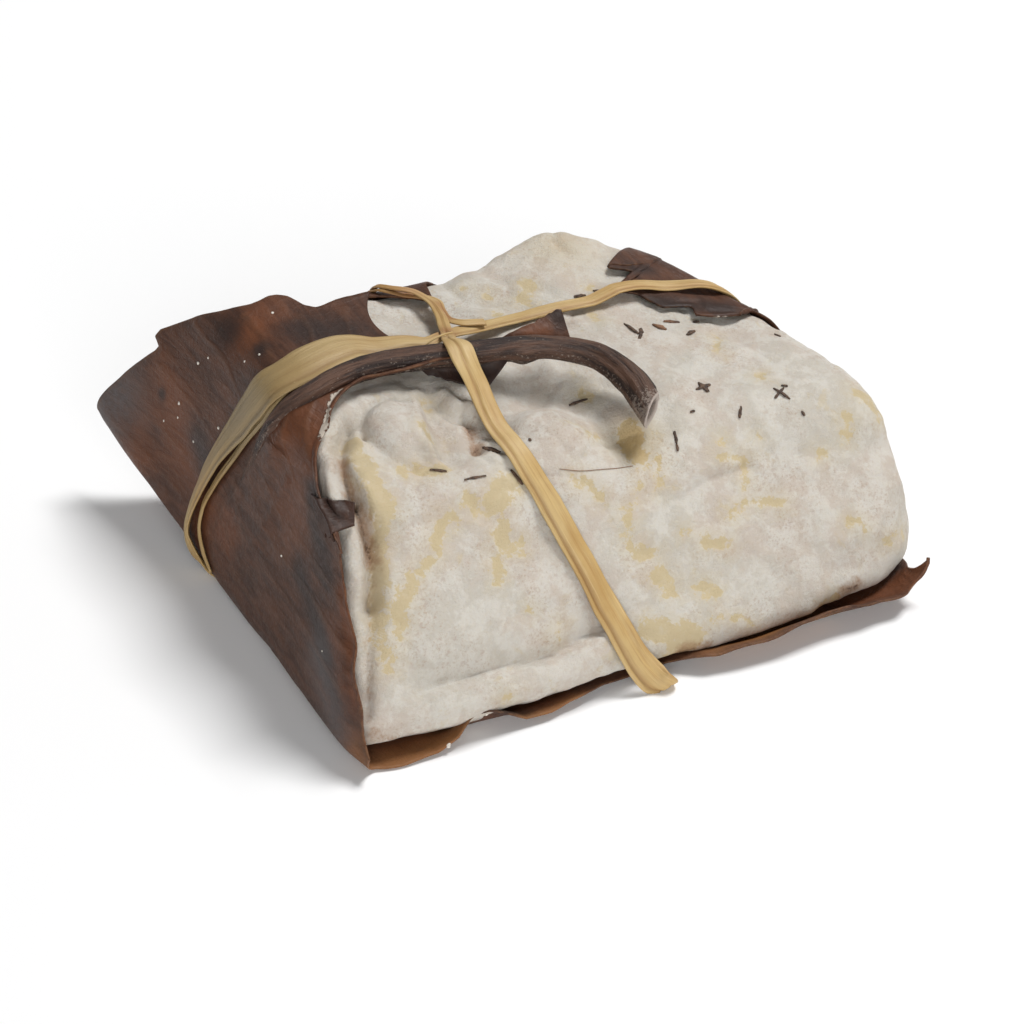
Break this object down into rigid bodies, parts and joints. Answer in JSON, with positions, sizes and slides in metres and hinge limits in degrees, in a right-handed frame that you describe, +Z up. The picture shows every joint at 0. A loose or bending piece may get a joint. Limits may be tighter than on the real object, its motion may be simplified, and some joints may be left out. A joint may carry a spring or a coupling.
{
  "type": "goat cheese",
  "caption": "Small soft goat cheese in a dried brown leaf, open along its front, tied crosswise with raffia and with the leaf's stalk lying free on top.",
  "frame": {"origin": "middle of the parcel's bounding box in plan, on the floor that the leaf rests on", "axes": "+X along the open front to the right, +Y to the back, +Z up"},
  "size_m": [0.0764, 0.0718, 0.0312],
  "materials": {
    "cheese": "soft, moist, off-white with yellow patches",
    "leaf": "dry brown leaf, slightly shiny and wrinkled",
    "dark_leaf": "dry dark brown leaf",
    "raffia": "straw-coloured fibre, satin"
  },
  "bodies": {
    "root": {"cheese": "cheese", "leaf_wrap": "leaf", "leaf_back": "dark_leaf", "raffia_tie": "raffia"}
  },
  "joints": []
}
